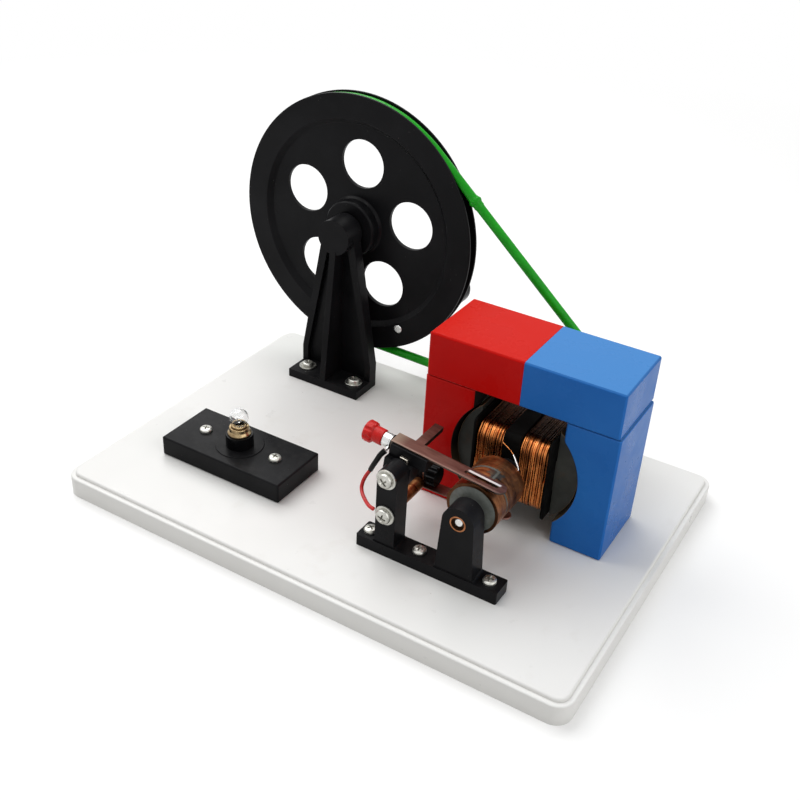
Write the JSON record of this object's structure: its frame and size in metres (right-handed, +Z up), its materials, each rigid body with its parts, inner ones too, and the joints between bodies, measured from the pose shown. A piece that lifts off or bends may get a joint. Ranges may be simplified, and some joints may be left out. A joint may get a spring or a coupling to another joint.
{
  "type": "hand crank generator",
  "caption": "Tabletop hand crank generator: belt-driven wound armature between block magnets, strip brushes, barrel commutator, crank wheel and small lamp on a moulded base plate.",
  "frame": {"origin": "middle of the base plate's underside, where it stands on the table", "axes": "+X along the long front edge of the base plate, from the lamp towards the magnets; +Y away from the viewer, towards the crank wheel; +Z up"},
  "size_m": [0.353, 0.2945, 0.2132],
  "materials": {
    "white_plastic": "moulded, satin",
    "black_plastic": "moulded, satin",
    "gloss_black": "polished",
    "grey_fibre": "pressed insulating sheet",
    "bright_steel": "zinc plated, bright",
    "brushed_steel": "brushed strip",
    "dark_steel": "varnished laminations",
    "copper": "bare copper",
    "bronze": "sintered bronze",
    "brass": "turned brass",
    "magnet_red": "gloss enamel",
    "magnet_blue": "gloss enamel",
    "belt_green": "extruded, slightly translucent",
    "cap_red": "moulded, glossy",
    "lead_red": "flexible sleeving",
    "sleeve_black": "flexible sleeving",
    "clear_glass": "blown glass"
  },
  "bodies": {
    "base": {"base_plate": "white_plastic", "wheel_post": "black_plastic", "wheel_post_screws": "bright_steel", "wheel_axle": "bright_steel", "axle_washers": "bright_steel", "axle_nut": "bright_steel", "drive_belt": "belt_green", "magnet_bar_red": "magnet_red", "magnet_bar_blue": "magnet_blue", "pole_red": "magnet_red", "pole_blue": "magnet_blue", "pole_screws": "bright_steel", "front_bracket": "black_plastic", "front_bush": "bronze", "front_bracket_screws": "bright_steel", "rear_bracket": "black_plastic", "rear_bush": "bronze", "rear_bracket_screws": "bright_steel", "brush_screws": "bright_steel", "upper_brush_block": "black_plastic", "upper_brush": "brushed_steel", "block_nut": "brushed_steel", "red_terminal_stud": "brass", "stud_washer": "gloss_black", "lead_lug": "bright_steel", "stud_collar": "bright_steel", "lead_sleeve": "sleeve_black", "red_lead": "lead_red", "lower_pillar": "copper", "lower_brush_block": "black_plastic", "lower_brush": "brushed_steel", "black_terminal_stud": "brass", "lamp_block": "black_plastic", "lamp_screws": "bright_steel", "socket_collar": "gloss_black", "socket_shell": "brass"},
    "wheel": {"drive_wheel": "black_plastic", "wheel_bush": "bronze", "crank_pin": "bright_steel", "grip_screw": "bright_steel"},
    "grip": {"crank_grip": "gloss_black"},
    "armature": {"armature_shaft": "bright_steel", "armature_core": "dark_steel", "slot_lining": "black_plastic", "armature_hub": "black_plastic", "coil_packs": "copper", "winding_left": "copper", "winding_right": "copper", "barrel_core": "grey_fibre", "barrel_ring_front": "copper", "barrel_ring_rear": "copper", "spacer_sleeve": "black_plastic", "coil_leads": "bright_steel", "pulley": "black_plastic", "pulley_set_screw": "bright_steel"},
    "red_cap": {"red_terminal_cap": "cap_red"},
    "black_cap": {"black_terminal_cap": "gloss_black"},
    "bulb": {"bulb_cap": "brass", "bulb_glass": "clear_glass", "bulb_filament": "bright_steel"}
  },
  "joints": [
    {"name": "wheel_spin", "type": "hinge", "parent": "base", "child": "wheel", "pos_m": [-0.0965, 0.0974, 0.1243], "axis": [0, 1, 0], "continuous": true},
    {"name": "armature_spin", "type": "hinge", "parent": "base", "child": "armature", "pos_m": [0.0785, 0, 0.057], "axis": [0, 1, 0], "continuous": true},
    {"name": "grip_spin", "type": "hinge", "parent": "wheel", "child": "grip", "pos_m": [-0.0577, 0.1045, 0.05895], "axis": [0, 1, 0], "continuous": true},
    {"name": "red_cap_turn", "type": "hinge", "parent": "base", "child": "red_cap", "pos_m": [0.01343, -0.048, 0.07687], "axis": [0.9934, 0, -0.1143], "range_deg": [0, 720]},
    {"name": "black_cap_turn", "type": "hinge", "parent": "base", "child": "black_cap", "pos_m": [0.0407, -0.0285, 0.0487], "axis": [1, 0, 0], "range_deg": [0, 720]},
    {"name": "bulb_turn", "type": "hinge", "parent": "base", "child": "bulb", "pos_m": [-0.0865, -0.045, 0.035], "axis": [0, 0, 1], "range_deg": [0, 720]}
  ],
  "couplings": [
    {"joint": "armature_spin", "follows": "wheel_spin", "ratio": 4}
  ]
}
